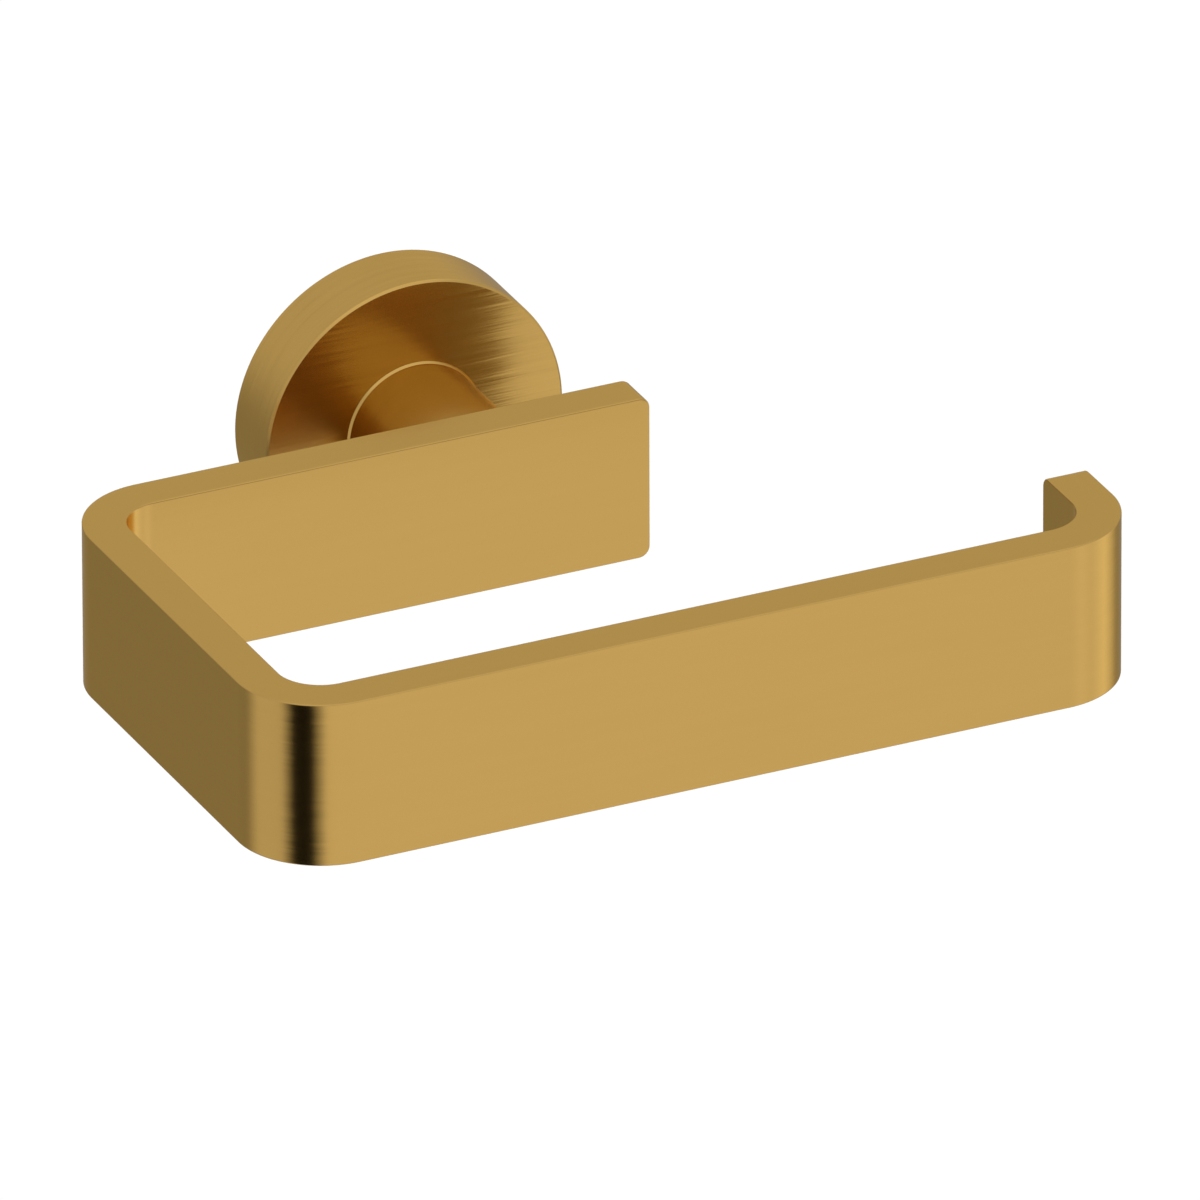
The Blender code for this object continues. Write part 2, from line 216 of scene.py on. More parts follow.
def brushedMetal(name, finish):
    # every brushed piece carries grainPlace (metres along, across and through the brush lines)
    # and grainWay (the direction that the lines run in)
    material = bpy.data.materials.new(name)
    material.use_nodes = True
    graph = Graph(material.node_tree)
    place = graph.add("ShaderNodeAttribute", {"attribute_name": "grainPlace"}, {}, 1)
    way = graph.add("ShaderNodeAttribute", {"attribute_name": "grainWay"}, {}, 1)
    lines, length = finish["linesPerMetre"], finish["lineLength"]
    fine = graph.noise(graph.vectors("MULTIPLY", place, (1 / length, lines, lines)), 1.0, 3.0)
    broad = graph.noise(graph.vectors("MULTIPLY", place, (0.3 / length, lines / 5, lines / 5)), 1.0, 2.0)
    sway = graph.noise(graph.vectors("MULTIPLY", place, (0.5 / length, lines * 0.8, lines * 0.8)), 1.0,
                       finish["swayDetail"])
    cloud = graph.noise(place, finish["cloudsPerMetre"], 3.0)
    amount = fine * 0.4 + broad * 0.35 + cloud * 0.25
    spread = graph.maths("MULTIPLY_ADD", amount - 0.5, finish["contrast"], 0.5)
    colour = graph.mixColours(graph.maths("MINIMUM", graph.maths("MAXIMUM", spread, 0.0), 1.0),
                              mixedTone(finish["colour"], 1 - finish["tone"]),
                              mixedTone(finish["colour"], 1 + finish["tone"]))
    roughness = finish["roughness"] + (fine * 0.5 + cloud * 0.5 - 0.5) * finish["roughnessDrift"]
    bump = graph.add("ShaderNodeBump", {}, {"Height": fine * 0.7 + broad * 0.3, "Strength": 1.0,
                                            "Distance": finish["depth"]})
    lean = graph.add("ShaderNodeVectorMath", {"operation": "SCALE"},
                     {0: way, 3: (sway - 0.5) * finish["sway"]})
    normal = graph.vectors("NORMALIZE", graph.vectors("ADD", bump, lean))
    shader = graph.add("ShaderNodeBsdfPrincipled", {},
                       {"Base Color": colour, "Roughness": roughness, "Metallic": 1.0, "Normal": normal,
                        "Specular Tint": (*finish["edgeTint"], 1)})
    graph.add("ShaderNodeOutputMaterial", {}, {"Surface": shader})
    return material


def writeGrain(piece, read):
    # read(point, face) gives the two vectors for one corner of a face
    mesh = piece.data
    for name in ("grainPlace", "grainWay"):
        mesh.attributes.new(name, "FLOAT_VECTOR", "CORNER")
    places, ways = mesh.attributes["grainPlace"], mesh.attributes["grainWay"]
    for face in mesh.polygons:
        for corner in face.loop_indices:
            point = mesh.vertices[mesh.loops[corner].vertex_index].co
            places.data[corner].vector, ways.data[corner].vector = read(point, face)


def roundGrain(radius, x=0.0, z=0.0):
    # turned pieces are brushed round their axis, and straight across on their flat ends
    def read(point, face):
        if abs(face.normal.y) > 0.9:
            return (point.x - x, point.z - z, point.y), (1, 0, 0)
        middle = math.atan2(face.center.x - x, face.center.z - z)
        turn = math.atan2(point.x - x, point.z - z) - middle
        angle = middle + turn - math.tau * round(turn / math.tau)
        out = math.hypot(point.x - x, point.z - z)
        return (angle * radius, point.y, out), (math.cos(angle), 0, -math.sin(angle))

    return read


brushedGold = {
    "colour": (0.600, 0.376, 0.107),
    "tone": 0.03,             # how far the lines go lighter and darker
    "contrast": 1.2,
    "edgeTint": (1.0, 0.86, 0.60),
    "roughness": 0.19,
    "roughnessDrift": 0.05,
    "linesPerMetre": 3600,
    "lineLength": 12 * mm,
    "cloudsPerMetre": 35,
    "depth": 0.002 * mm,
    "sway": 0.05,             # how much one line leans against the next, along the brush
    "swayDetail": 1.0,
}
turnedGold = dict(brushedGold, tone=0.09, contrast=2.0, roughness=0.235, sway=0.17, swayDetail=2.0,
                  linesPerMetre=4200)


low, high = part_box("strap")
strapSize = {
    "thickness": 7.6 * mm,
    "bendRadius": 15.3 * mm,     # at the outer face
    "bendSteps": 24,
    "backEnd": 28.2 * mm,        # X of the back plate's free end
    "lipLength": 26.4 * mm,      # from the front face
    "endRadius": 2.0 * mm,
    "edgeRound": 0.4 * mm,
    "studHole": 3.3 * mm,
    "studDepth": 5.5 * mm,
    "dowelHole": 1.8 * mm,
    "dowelDepth": 5.0 * mm,
    "dowelsAt": 7.5 * mm,        # each side of the axis
}


def makeStrap():
    s = strapSize
    height = high.z - low.z
    radius = s["bendRadius"]
    deselectAll()
    middle = (s["backEnd"], high.y - s["thickness"] / 2, (low.z + high.z) / 2)
    bpy.ops.mesh.primitive_plane_add(size=1, location=middle, rotation=(0, math.pi / 2, 0))
    strap = bpy.context.object
    strap.name = strap.data.name = "strapBrushed"
    strap.scale = (height, s["thickness"], 1)
    settle(strap)
    openEdit(strap)
    bpy.ops.mesh.select_all(action="SELECT")

    def run(x, y):
        bpy.ops.mesh.extrude_region_move(TRANSFORM_OT_translate={"value": (x, y, 0)})

    def bend(x, y):
        bpy.ops.mesh.spin(steps=s["bendSteps"], angle=math.pi / 2, center=(x, y, 0), axis=(0, 0, -1))

    left, right = low.x + radius, high.x - radius
    front, back = low.y + radius, high.y - radius
    run(left - s["backEnd"], 0)
    bend(left, back)
    run(0, front - back)
    bend(left, front)
    run(right - left, 0)
    bend(right, front)
    run(0, s["lipLength"] - radius)
    lipEnd = low.y + s["lipLength"]

    def atFreeEnd(a, b):
        level = abs(a.z - b.z) < near
        atBack = abs(a.x - s["backEnd"]) < near and abs(b.x - s["backEnd"]) < near
        atLip = abs(a.y - lipEnd) < near and abs(b.y - lipEnd) < near
        return level and (atBack or atLip)

    bpy.ops.mesh.select_all(action="SELECT")
    bpy.ops.mesh.remove_doubles(threshold=0.001 * mm)
    bpy.ops.mesh.normals_make_consistent(inside=False)
    pickEdges(strap, atFreeEnd)
    bpy.ops.mesh.bevel(offset=s["endRadius"], segments=8, profile=0.5, affect="EDGES")
    closeEdit()
    carve(strap, rod("studHole", s["studHole"], high.y - s["studDepth"], high.y + past))
    for x in (-s["dowelsAt"], s["dowelsAt"]):
        carve(strap, rod("dowelHole", s["dowelHole"], high.y - s["dowelDepth"], high.y + past, 24, x))
    easeEdges(strap, s["edgeRound"])
    writeGrain(strap, barGrain())
    return strap


def barGrain():
    # the brush lines follow the bar round its bends
    s = strapSize
    radius = s["bendRadius"]
    middleRadius = radius - s["thickness"] / 2
    left, right = low.x + radius, high.x - radius
    front, back = low.y + radius, high.y - radius
    quarter = middleRadius * math.pi / 2
    backRun = s["backEnd"] - left
    sideRun = back - front
    frontRun = right - left

    def bent(point, start, x, y, quarters):
        dx, dy = point.x - x, point.y - y
        turned = math.atan2(dy, dx) - math.pi / 2 * quarters
        turned -= math.tau * round(turned / math.tau)
        out = math.hypot(dx, dy)
        return start + turned * middleRadius, out - middleRadius, (-dy / out, dx / out, 0)

    def measure(point):
        x, y = point.x, point.y
        if y > back and x < left:
            return bent(point, backRun, left, back, 1)
        if y < front and x < left:
            return bent(point, backRun + quarter + sideRun, left, front, 2)
        if y < front and x > right:
            return bent(point, backRun + 2 * quarter + sideRun + frontRun, right, front, 3)
        if x <= left:
            return backRun + quarter + back - y, left - x - middleRadius, (0, -1, 0)
        if x >= right:
            lipRun = backRun + 3 * quarter + sideRun + frontRun
            return lipRun + y - front, x - right - middleRadius, (0, 1, 0)
        if y <= front:
            return backRun + 2 * quarter + sideRun + x - left, front - y - middleRadius, (1, 0, 0)
        return s["backEnd"] - x, y - back - middleRadius, (-1, 0, 0)

    def read(point, face):
        along, aside, way = measure(point)
        return (along, aside, point.z), way

    return read


def finishPiece(piece, node, material):
    piece.data.materials.clear()
    piece.data.materials.append(material)
    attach(piece, "root")
    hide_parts(node)
    print(piece.name, "made:", len(piece.data.polygons), "faces")


goldBar = brushedMetal("brushedGoldBar", brushedGold)
goldTurned = brushedMetal("brushedGoldTurned", turnedGold)
finishPiece(makeStrap(), "strap", goldBar)

roseLow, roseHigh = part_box("rose")
postLow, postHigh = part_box("post")
postSize = {
    "radius": 12.3 * mm,
    "footRadius": 12.7 * mm,
    "spigotRadius": 8.0 * mm,
    "sides": 128,
    "edgeRound": 0.1 * mm,
    "boltHole": 3.3 * mm,
    "boltPast": 1.0 * mm,      # free depth past the bolt's end
    "studDepth": 10.0 * mm,
    "keyHole": 1.5 * mm,
    "keyDepth": 4.5 * mm,
    "keyAbove": 10.1 * mm,
}


def makePost():
    s = postSize
    face = roseLow.y - hairline        # just in front of the rose
    rise = s["footRadius"] - s["radius"]
    post = rod("postTurned", s["radius"], high.y + hairline, face - rise, s["sides"])
    openEdit(post)
    pickFaces(post, lambda middle, normal: normal.y > 0.9)
    bpy.ops.mesh.extrude_region_move(TRANSFORM_OT_translate={"value": (0, rise, 0)})
    grow = s["footRadius"] / s["radius"]
    bpy.ops.transform.resize(value=(grow, 1, grow), center_override=(0, face, 0))
    bpy.ops.mesh.inset(thickness=s["footRadius"] - s["spigotRadius"])
    bpy.ops.mesh.extrude_region_move(TRANSFORM_OT_translate={"value": (0, postHigh.y - face, 0)})
    closeEdit()
    boltLow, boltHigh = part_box("post_bolt")
    carve(post, rod("studHole", s["boltHole"], high.y - past, high.y + s["studDepth"]),
          rod("boltHole", s["boltHole"], boltLow.y - s["boltPast"], postHigh.y + past),
          rod("keyHole", s["keyHole"], face - s["keyDepth"], face + past, 24, 0.0, s["keyAbove"]))
    for x in (-strapSize["dowelsAt"], strapSize["dowelsAt"]):
        carve(post, rod("dowelHole", strapSize["dowelHole"], high.y - past,
                        high.y + strapSize["dowelDepth"], 24, x))
    easeEdges(post, s["edgeRound"], 2)
    writeGrain(post, roundGrain(s["radius"]))
    return post


finishPiece(makePost(), "post", goldTurned)


roseSize = {
    "wall": 2.4 * mm,
    "chamfer": 0.4 * mm,
    "holeRadius": 8.3 * mm,
    "sides": 160,
    "edgeRound": 0.1 * mm,
    "grubHoleRadius": 2.3 * mm,
    "grubHoleLength": 6.0 * mm,
    "grubFromWall": 5.0 * mm,
}


def makeRose():
    s = roseSize
    radius = roseHigh.x
    rose = rod("roseTurned", radius, roseLow.y, 0.0, s["sides"])
    openEdit(rose)
    pickEdges(rose, lambda a, b: max(a.y, b.y) < roseLow.y + near)
    bpy.ops.mesh.bevel(offset=s["chamfer"], segments=1, affect="EDGES")
    pickFaces(rose, lambda middle, normal: normal.y > 0.9)
    bpy.ops.mesh.inset(thickness=s["wall"])
    bpy.ops.mesh.extrude_region_move(TRANSFORM_OT_translate={"value": (0, roseLow.y + s["wall"], 0)})
    bpy.ops.mesh.inset(thickness=radius - s["wall"] - s["holeRadius"])
    bpy.ops.mesh.delete(type="ONLY_FACE")
    pickFaces(rose, lambda middle, normal: normal.y < -0.9)
    bpy.ops.mesh.inset(thickness=radius - s["chamfer"] - s["holeRadius"])
    bpy.ops.mesh.delete(type="ONLY_FACE")
    pickEdges(rose, lambda a, b: max(math.hypot(a.x, a.z), math.hypot(b.x, b.z)) < s["holeRadius"] + near)
    bpy.ops.mesh.bridge_edge_loops()
    bpy.ops.mesh.select_all(action="SELECT")
    bpy.ops.mesh.normals_make_consistent(inside=False)
    closeEdit()
    deselectAll()
    bpy.ops.mesh.primitive_cylinder_add(vertices=40, radius=s["grubHoleRadius"], depth=s["grubHoleLength"],
                                        location=(0, -s["grubFromWall"], -radius))
    carve(rose, bpy.context.object)
    carve(rose, rod("keyHole", postSize["keyHole"], roseLow.y - past, roseLow.y + 2 * s["wall"], 24,
                    0.0, postSize["keyAbove"]))
    easeEdges(rose, s["edgeRound"], 2)
    writeGrain(rose, roundGrain(radius))
    return rose


finishPiece(makeRose(), "rose", goldTurned)


# the pieces that the rose, the post and the wall hide

steel = {
    "colour": (0.56, 0.55, 0.53),
    "tone": 0.09,
    "contrast": 1.6,
    "edgeTint": (1.0, 1.0, 1.0),
    "roughness": 0.27,
    "roughnessDrift": 0.12,
    "linesPerMetre": 4200,
    "lineLength": 5 * mm,
    "cloudsPerMetre": 160,
    "depth": 0.003 * mm,
    "sway": 0.05,
    "swayDetail": 1.0,
}
bracketSteel = dict(steel, colour=(0.43, 0.43, 0.42), tone=0.12, roughness=0.38, linesPerMetre=2400,
                    lineLength=20 * mm, cloudsPerMetre=90, depth=0.008 * mm)
nylon = {
    "colour": (0.50, 0.51, 0.52),
    "speckle": 0.14,
    "roughness": 0.48,
    "grainsPerMetre": 2600,
    "depth": 0.01 * mm,
}


def mouldedNylon(name, finish):
    material = bpy.data.materials.new(name)
    material.use_nodes = True
    graph = Graph(material.node_tree)
    place = graph.add("ShaderNodeTexCoord", {}, {}, "Object")
    grain = graph.noise(place, finish["grainsPerMetre"], 2.0)
    flow = graph.noise(place, finish["grainsPerMetre"] / 14, 3.0)
    colour = graph.mixColours(flow * 0.6 + grain * 0.4, mixedTone(finish["colour"], 1 - finish["speckle"]),
                              mixedTone(finish["colour"], 1 + finish["speckle"]))
    roughness = finish["roughness"] + 0.12 * (grain - 0.5) + 0.1 * (flow - 0.5)
    bump = graph.add("ShaderNodeBump", {}, {"Height": grain * 0.6 + flow * 0.4, "Strength": 1.0,
                                            "Distance": finish["depth"]})
    shader = graph.add("ShaderNodeBsdfPrincipled", {},
                       {"Base Color": colour, "Roughness": roughness, "Normal": bump, "IOR": 1.53})
    graph.add("ShaderNodeOutputMaterial", {}, {"Surface": shader})
    return material


steelTurned = brushedMetal("steelTurned", steel)
bracketTurned = brushedMetal("bracketTurned", bracketSteel)
nylonMoulded = mouldedNylon("nylonMoulded", nylon)


def turnOutline(name, outline, sides=48, x=0.0, z=0.0):
    # draws an outline of (radius, Y) points beside the axis and spins it round
    deselectAll()
    bpy.ops.mesh.primitive_plane_add(size=1 * mm)
    piece = bpy.context.object
    piece.name = piece.data.name = name
    bpy.ops.object.mode_set(mode="EDIT")
    bpy.ops.mesh.select_mode(type="VERT")
    bpy.ops.mesh.select_all(action="SELECT")
    bpy.ops.mesh.merge(type="CENTER")
    bpy.ops.transform.translate(value=(outline[0][0], outline[0][1], 0))
    for (radius, depth), (nextRadius, nextDepth) in zip(outline, outline[1:]):
        step = (nextRadius - radius, nextDepth - depth, 0)
        bpy.ops.mesh.extrude_region_move(TRANSFORM_OT_translate={"value": step})
    bpy.ops.mesh.select_all(action="SELECT")
    bpy.ops.mesh.spin(steps=sides, angle=math.tau, center=(0, 0, 0), axis=(0, 1, 0))
    bpy.ops.mesh.select_all(action="SELECT")
    bpy.ops.mesh.remove_doubles(threshold=0.002 * mm)
    bpy.ops.mesh.normals_make_consistent(inside=False)
    closeEdit()
    piece.location = (x, 0, z)
    settle(piece)
    return piece


def block(name, size, centre, turn=0.0):
    # a box, turned about the wall's normal
    deselectAll()
    bpy.ops.mesh.primitive_cube_add(size=1, location=centre, rotation=(0, turn, 0))
    piece = bpy.context.object
    piece.name = piece.data.name = name
    piece.scale = size
    settle(piece)
    return piece


threadShape = {
    "sunk": 0.1 * mm,       # how deep the ridge's foot lies in the shank
    "share": 0.84,          # of the pitch, which the ridge covers
    "steps": 24,            # for each turn
}


def addThread(piece, core, crest, pitch, start, end, margin):
    # winds a three-sided ridge round the shank, margin turns in from start and end, and joins it on
    root = core - threadShape["sunk"]
    depth = crest - root
    side = pitch * threadShape["share"] / math.sqrt(3)
    turns = int((end - start - 2 * margin * pitch) / pitch)
    deselectAll()
    bpy.ops.mesh.primitive_circle_add(vertices=3, radius=side, rotation=(0, 0, -math.pi / 2),
                                      location=(root + depth / 3, start + margin * pitch, 0))
    ridge = bpy.context.object
    ridge.scale = (1, depth / (1.5 * side), 1)
    settle(ridge)
    addModifier(ridge, "SCREW", "wind", axis="Y", screw_offset=pitch, iterations=turns,
                steps=threadShape["steps"], render_steps=threadShape["steps"])
    openEdit(ridge)
    bpy.ops.mesh.select_mode(type="EDGE")
    bpy.ops.mesh.select_non_manifold(extend=False)
    bpy.ops.mesh.edge_face_add()
    bpy.ops.mesh.select_all(action="SELECT")
    bpy.ops.mesh.normals_make_consistent(inside=False)
    closeEdit()
    addModifier(piece, "BOOLEAN", "thread", operation="UNION", solver="EXACT", object=ridge)
    bpy.data.objects.remove(ridge, do_unlink=True)


def sharpen(piece):
    # smooth round the turning, sharp at the steps
    activate(piece)
    bpy.ops.object.shade_smooth_by_angle(angle=math.radians(30))


def middleOf(node):
    boxLow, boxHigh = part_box(node)
    return (boxLow.x + boxHigh.x) / 2, (boxLow.z + boxHigh.z) / 2


bracketSize = {
    "rim": 2.6 * mm,
    "floor": 2.5 * mm,
    "grooveDepth": 0.8 * mm,
    "grooveHalfWidth": 1.4 * mm,
    "slotWidth": 4.6 * mm,
    "slotLength": 7.0 * mm,
    "sides": 128,
    "edgeRound": 0.25 * mm,
}


def makeBracket():
    s = bracketSize
    boxLow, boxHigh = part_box("wall_bracket")
    radius = boxHigh.x
    inner = radius - s["rim"]
    groove = -roseSize["grubFromWall"]
    bracket = turnOutline("bracketTurned", [
        (0, 0), (radius, 0), (radius, groove + s["grooveHalfWidth"]), (radius - s["grooveDepth"], groove),
        (radius, groove - s["grooveHalfWidth"]), (radius, boxLow.y), (inner, boxLow.y),
        (inner, -s["floor"]), (0, -s["floor"])], s["sides"])
    for node, turn in (("wall_screw_upper", 0.0), ("wall_screw_lower", math.pi / 2)):
        x, z = middleOf(node)
        slot = block("slot", (s["slotLength"], 2 * s["floor"], s["slotWidth"]),
                     (x, -s["floor"] / 2, z), turn)
        openEdit(slot)
        pickEdges(slot, lambda a, b: abs(a.y - b.y) > s["floor"])
        bpy.ops.mesh.bevel(offset=s["slotWidth"] / 2 - near, segments=14, affect="EDGES")
        closeEdit()
        carve(bracket, slot)
    easeEdges(bracket, s["edgeRound"], 2)
    writeGrain(bracket, roundGrain(radius))
    finishPiece(bracket, "wall_bracket", bracketTurned)


makeBracket()

washerSize = {
    "sides": 64,
    "holeRadius": 3.3 * mm,
    "edgeRound": 0.12 * mm,
    "split": 1.0 * mm,       # the gap in the spring washer
    "screwHoleRadius": 2.3 * mm,
}


def makeWasher(name, node, hole, split=0.0):
    boxLow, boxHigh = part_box(node)
    x, z = middleOf(node)
    radius = boxHigh.x - x
    washer = turnOutline(name, [(hole, boxHigh.y), (radius, boxHigh.y), (radius, boxLow.y), (hole, boxLow.y),
                                (hole, boxHigh.y)], washerSize["sides"], x, z)
    if split:
        thick = boxHigh.y - boxLow.y
        slant = 3 * thick
        cutter = block("split", (split, slant, 1.6 * (radius - hole)),
                       (0, (boxLow.y + boxHigh.y) / 2, (radius + hole) / 2))
        openEdit(cutter)
        pickFaces(cutter, lambda middle, normal: normal.y > 0.9)
        bpy.ops.transform.translate(value=(-slant, 0, 0))
        closeEdit()
        carve(washer, cutter)
    easeEdges(washer, washerSize["edgeRound"], 2)
    writeGrain(washer, roundGrain(radius, x, z))
    finishPiece(washer, node, steelTurned)


makeWasher("plainWasher", "plain_washer", washerSize["holeRadius"])
makeWasher("springWasher", "spring_washer", washerSize["holeRadius"], washerSize["split"])
makeWasher("screwWasherUpper", "screw_washer_upper", washerSize["screwHoleRadius"])
makeWasher("screwWasherLower", "screw_washer_lower", washerSize["screwHoleRadius"])

boltSize = {
    "radius": 3.0 * mm,
    "pitch": 1.0 * mm,
    "threadDepth": 0.42 * mm,
    "threadMargin": 1.0,        # turns left plain at each end
    "studMargin": 0.8,
    "headSteps": 8,
    "headArc": 60,              # degrees
    "socket": 4.0 * mm,         # across the flats
    "socketFloor": 1.0 * mm,    # from under the head
    "leadIn": 0.5 * mm,
}


def makeBolt():
    s = boltSize
    boxLow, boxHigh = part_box("post_bolt")
    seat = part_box("spring_washer")[1].y + playGap
    rise = boxHigh.y - seat
    core = s["radius"] - s["threadDepth"]
    outline = [(0, boxLow.y), (core - s["leadIn"], boxLow.y), (core, boxLow.y + s["leadIn"]), (core, seat)]
    wholeArc = math.radians(s["headArc"])
    for step in range(s["headSteps"] + 1):
        angle = wholeArc * step / s["headSteps"]
        outline.append((boxHigh.x * math.cos(angle), seat + rise * math.sin(angle) / math.sin(wholeArc)))
    outline.append((0, boxHigh.y))
    bolt = turnOutline("postBolt", outline)
    addThread(bolt, core, s["radius"], s["pitch"], boxLow.y, seat, s["threadMargin"])
    carve(bolt, rod("socket", s["socket"] / math.sqrt(3), seat + s["socketFloor"], boxHigh.y + past, 6))
    sharpen(bolt)
    writeGrain(bolt, roundGrain(s["radius"]))
    finishPiece(bolt, "post_bolt", steelTurned)


def makeStud():
    s = boltSize
    boxLow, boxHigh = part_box("joint_stud")
    core = s["radius"] - s["threadDepth"]
    lead = s["leadIn"]
    stud = turnOutline("jointStud", [(0, boxLow.y), (core - lead, boxLow.y), (core, boxLow.y + lead),
                                     (core, boxHigh.y - lead), (core - lead, boxHigh.y), (0, boxHigh.y)])
    addThread(stud, core, s["radius"], s["pitch"], boxLow.y, boxHigh.y, s["studMargin"])
    sharpen(stud)
    writeGrain(stud, roundGrain(s["radius"]))
    finishPiece(stud, "joint_stud", steelTurned)


makeBolt()
makeStud()

pinSize = {
    "sides": 32,
    "lead": 0.35 * mm,
    "edgeRound": 0.12 * mm,
}


def makePin(name, node):
    s = pinSize
    boxLow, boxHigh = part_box(node)
    x, z = middleOf(node)
    radius = boxHigh.x - x
    lead = s["lead"]
    pin = turnOutline(name, [(0, boxLow.y), (radius - lead, boxLow.y), (radius, boxLow.y + lead),
                             (radius, boxHigh.y - lead), (radius - lead, boxHigh.y), (0, boxHigh.y)],
                      s["sides"], x, z)
    easeEdges(pin, s["edgeRound"], 2)
    writeGrain(pin, roundGrain(radius, x, z))
    finishPiece(pin, node, steelTurned)


makePin("dowelPinLeft", "dowel_pin_left")
makePin("dowelPinRight", "dowel_pin_right")
makePin("keyPin", "key_pin")

grubSize = {
    "sides": 40,
    "pitch": 0.7 * mm,
    "threadDepth": 0.3 * mm,
    "threadMargin": 0.7,
    "key": 2.0 * mm,
    "keyDepth": 2.0 * mm,
    "pointRadius": 0.5 * mm,
    "lead": 0.35 * mm,
}


def makeGrub():
    # turned along the wall's normal, then stood upright under the bracket
    s = grubSize
    boxLow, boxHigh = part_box("grub_screw")
    length = boxHigh.z - boxLow.z
    radius = boxHigh.x
    core = radius - s["threadDepth"]
    shoulder = length - core + s["pointRadius"]
    grub = turnOutline("grubScrew", [(0, 0), (core - s["lead"], 0), (core, s["lead"]), (core, shoulder),
                                     (s["pointRadius"], length), (0, length - s["pointRadius"] / 2)],
                       s["sides"])
    addThread(grub, core, radius, s["pitch"], 0.0, shoulder, s["threadMargin"])
    carve(grub, rod("socket", s["key"] / math.sqrt(3), -past, s["keyDepth"], 6))
    sharpen(grub)
    grub.rotation_euler = (math.pi / 2, 0, 0)
    grub.location = (0, -roseSize["grubFromWall"], boxLow.z)
    settle(grub)
    writeGrain(grub, lambda point, face: ((point.x, point.z, point.y), (0, 0, 0)))
    finishPiece(grub, "grub_screw", steelTurned)


makeGrub()

screwSize = {
    "radius": 2.0 * mm,
    "core": 1.5 * mm,
    "pitch": 1.8 * mm,
    "neckEnd": 0.6 * mm,       # Y where the plain neck starts to narrow to the core
    "coreStart": 1.0 * mm,
    "threadStart": 1.4 * mm,
    "threadMargin": 0.5,
    "headHeight": 2.6 * mm,
    "headFlat": 0.6,           # flat share of the head's radius
    "headSteps": 6,
    "recessDepth": 1.3 * mm,
    "recessArm": 1.9 * mm,
    "recessWidth": 0.95 * mm,
    "taper": 3.0 * mm,
}
plugSize = {
    "holeRadius": 2.3 * mm,
    "barb": 0.35 * mm,
    "barbs": 6,
    "slit": 0.8 * mm,
    "slitShare": 0.7,
    "edgeRound": 0.08 * mm,
}


def makeWallScrew(name, node):
    s = screwSize
    boxLow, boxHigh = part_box(node)
    x, z = middleOf(node)
    headRadius = boxHigh.x - x
    seat = boxLow.y + s["headHeight"]
    outline = [(0, boxLow.y)]
    for step in range(s["headSteps"] + 1):
        angle = math.pi / 2 * step / s["headSteps"]
        outline.append((headRadius * (s["headFlat"] + (1 - s["headFlat"]) * math.sin(angle)),
                        boxLow.y + s["headHeight"] / 2 * (1 - math.cos(angle))))
    outline += [(headRadius, seat), (s["radius"], seat), (s["radius"], s["neckEnd"]),
                (s["core"], s["coreStart"]), (s["core"], boxHigh.y - s["taper"]), (0, boxHigh.y)]
    screw = turnOutline(name, outline)
    addThread(screw, s["core"], s["radius"], s["pitch"], s["threadStart"], boxHigh.y - s["taper"],
              s["threadMargin"])
    for turn in (0.0, math.pi / 2):
        blade = block("recess", (2 * s["recessArm"], s["recessDepth"] + past, s["recessWidth"]),
                      (0, boxLow.y + (s["recessDepth"] - past) / 2, 0), turn)
        openEdit(blade)
        pickFaces(blade, lambda middle, normal: normal.y > 0.9)
        bpy.ops.transform.resize(value=(0.5, 1, 0.5), center_override=(0, 0, 0))
        closeEdit()
        carve(screw, blade)
    sharpen(screw)
    screw.location = (x, 0, z)
    settle(screw)
    writeGrain(screw, roundGrain(headRadius, x, z))
    finishPiece(screw, node, steelTurned)


def makePlug(name, node):
    s = plugSize
    boxLow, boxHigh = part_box(node)
    x, z = middleOf(node)
    radius = boxHigh.x - x
    length = boxHigh.y - boxLow.y
    step = length / 2 / s["barbs"]
    outline = [(s["holeRadius"], boxLow.y), (radius, boxLow.y), (radius, boxHigh.y - length / 2 - step)]
    for barb in range(s["barbs"], 0, -1):
        outline.append((radius - s["barb"], boxHigh.y - barb * step))
        outline.append((radius, boxHigh.y - barb * step + step * 0.2))
    outline += [(radius - s["barb"], boxHigh.y), (s["holeRadius"], boxHigh.y), (s["holeRadius"], boxLow.y)]
    plug = turnOutline(name, outline, 48, x, z)
    slitLength = length * s["slitShare"] + past
    carve(plug, block("slit", (s["slit"], slitLength, 4 * radius),
                      (x, boxHigh.y + past - slitLength / 2, z)))
    easeEdges(plug, s["edgeRound"], 2)
    finishPiece(plug, node, nylonMoulded)


for side in ("upper", "lower"):
    makeWallScrew("wallScrew" + side.title(), "wall_screw_" + side)
    makePlug("wallPlug" + side.title(), "wall_plug_" + side)


camera = {
    "azimuth": -25.20,
    "elevation": 26.756,
    "lens": 1156.8,
    "distance": 6.452,
    "aside": -0.33 * mm,    # aim, from the middle of the strap's box
    "above": -0.666 * mm,
    "roll": -0.166,
}


def makeCamera():
    turn, rise = math.radians(camera["azimuth"]), math.radians(camera["elevation"])
    back = Vector((math.sin(turn) * math.cos(rise), -math.cos(turn) * math.cos(rise), math.sin(rise)))
    facing = (-back).to_track_quat("-Z", "Y")
    aim = (low + high) / 2 + facing @ Vector((camera["aside"], camera["above"], 0))
    data = bpy.data.cameras.new("camera")
    data.lens = camera["lens"]
    data.clip_end = 100
    item = bpy.data.objects.new("camera", data)
    bpy.context.scene.collection.objects.link(item)
    item.location = aim + back * camera["distance"]
    item.rotation_mode = "QUATERNION"
    roll = Matrix.Rotation(math.radians(camera["roll"]), 3, "Z").to_quaternion()
    item.rotation_quaternion = facing @ roll
    bpy.context.scene.camera = item


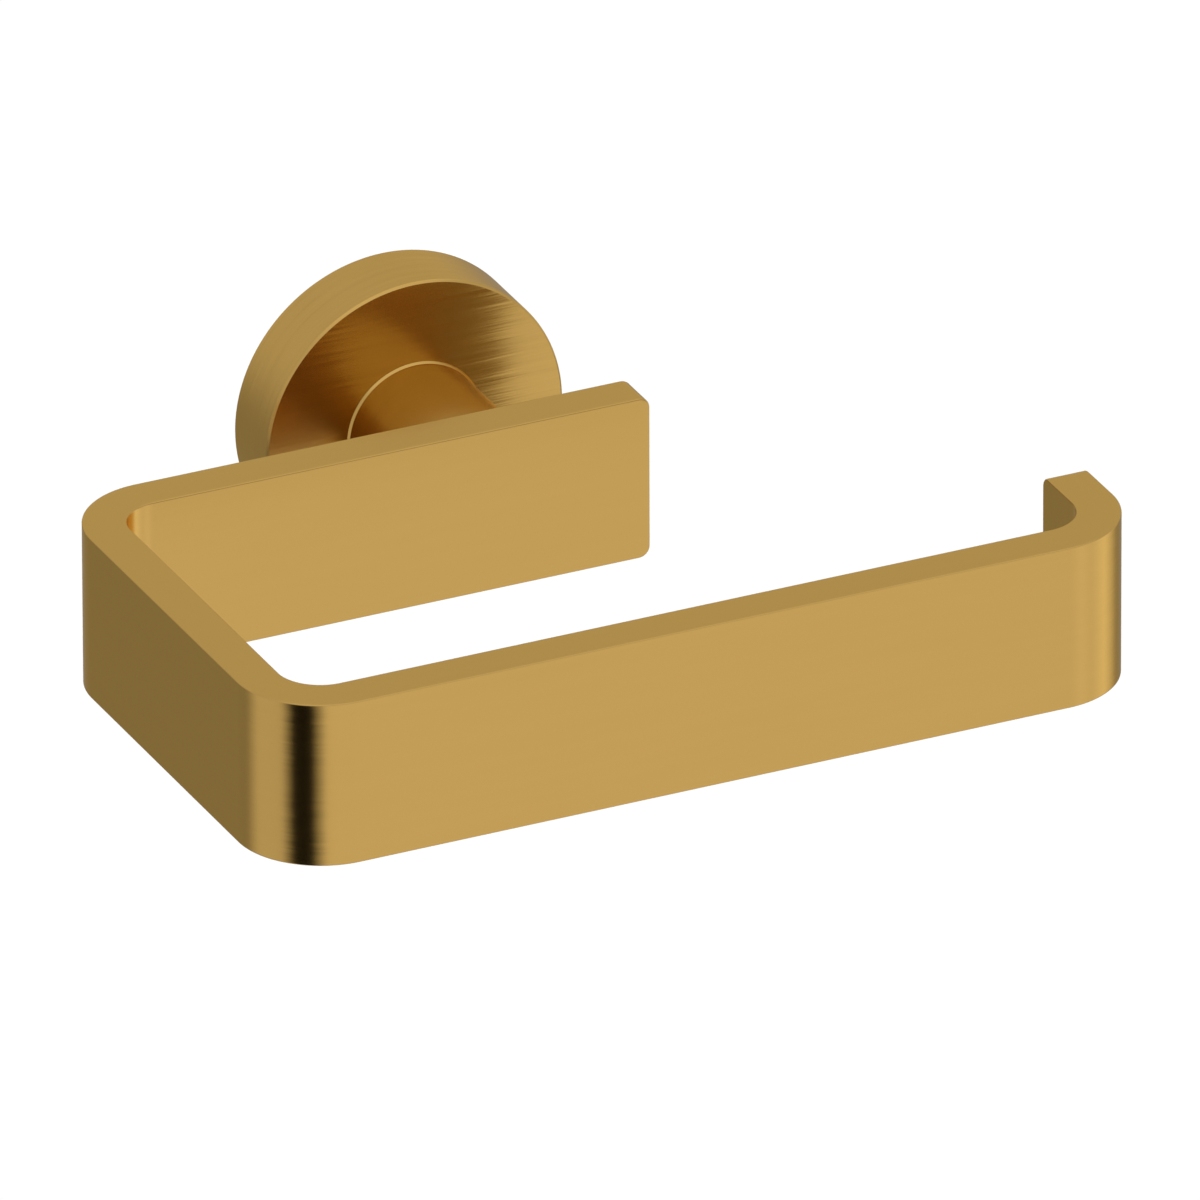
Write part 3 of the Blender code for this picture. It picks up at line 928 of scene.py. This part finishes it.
studio = {
    "floorBelow": 0.35,     # metres under the wall axis
    "floorSize": 12.0,
    "floorColour": 0.97,
    "evenLight": 1.05,
    # the next two, and cardTop, are heights of a direction, from -1 straight down to 1 straight up
    "lowToMiddle": (-0.33, 0.22),    # one ring fades into the next between them
    "middleToTop": (0.55, 0.78),
    # brightness seen in the metal, by compass angle from straight in front towards the left, in degrees
    "lowRing": ((-180, 0.35), (-155, 0.35), (-128, 0.35), (-112, 0.41), (-99, 0.79), (-83, 1.16),
                (-60, 0.92), (-42, 1.02), (-28, 0.925), (17, 0.92), (76, 0.75), (111, 0.76), (131, 0.35),
                (155, 0.35), (180, 0.35)),
    "darkCard": ((-180, 0), (17, 0), (36, 1), (60, 1), (76, 0), (180, 0)),
    "cardTop": (-0.30, -0.24),       # and between which the dark card thins out
    "cardThinning": 0.55,
    "middleRing": ((-180, 0.68), (-120, 0.66), (-60, 0.70), (60, 0.70), (120, 0.66), (180, 0.68)),
    "topRing": ((-180, 0.70), (-120, 0.70), (-60, 0.96), (60, 0.96), (120, 0.70), (180, 0.70)),
}


def makeWorld():
    world = bpy.data.worlds.new("studio")
    bpy.context.scene.world = world
    world.use_nodes = True
    graph = Graph(world.node_tree)
    direction = graph.add("ShaderNodeTexCoord", {}, {}, 0)
    x, y, z = graph.add("ShaderNodeSeparateXYZ", {}, {0: direction}, (0, 1, 2))
    compass = graph.maths("ARCTAN2", 0 - x, 0 - y) / math.tau + 0.5

    def ring(name):
        stops = [(angle / 360 + 0.5, level) for angle, level in studio[name]]
        return graph.add("ShaderNodeValToRGB", {"stops": stops}, {"Fac": compass})

    def above(start, end):
        return graph.add("ShaderNodeMapRange", {"interpolation_type": "SMOOTHSTEP"},
                         {"Value": z, "From Min": start, "From Max": end})

    card = ring("darkCard") * (1 - above(*studio["cardTop"]) * studio["cardThinning"])
    lowSeen = graph.mixColours(card, ring("lowRing"), (0, 0, 0, 1))
    seen = graph.mixColours(above(*studio["lowToMiddle"]), lowSeen, ring("middleRing"))
    seen = graph.mixColours(above(*studio["middleToTop"]), seen, ring("topRing"))
    glossy = graph.add("ShaderNodeLightPath", {}, {}, "Is Glossy Ray")
    even = graph.add("ShaderNodeBackground", {}, {"Color": (1, 1, 1, 1), "Strength": studio["evenLight"]})
    cards = graph.add("ShaderNodeBackground", {}, {"Color": seen, "Strength": 1.0})
    mixed = graph.add("ShaderNodeMixShader", {}, {0: glossy, 1: even, 2: cards})
    graph.add("ShaderNodeOutputWorld", {}, {"Surface": mixed})


def makeFloor():
    deselectAll()
    bpy.ops.mesh.primitive_plane_add(size=studio["floorSize"], location=(0, 0, -studio["floorBelow"]))
    floor = bpy.context.object
    floor.name = "floor"
    floor.visible_glossy = False
    material = bpy.data.materials.new("paleFloor")
    material.use_nodes = True
    graph = Graph(material.node_tree)
    level = studio["floorColour"]
    shader = graph.add("ShaderNodeBsdfDiffuse", {}, {"Color": (level, level, level, 1)})
    graph.add("ShaderNodeOutputMaterial", {}, {"Surface": shader})
    floor.data.materials.append(material)


makeCamera()
makeWorld()
makeFloor()
bpy.context.scene.view_settings.view_transform = "Standard"
print("studio ready")
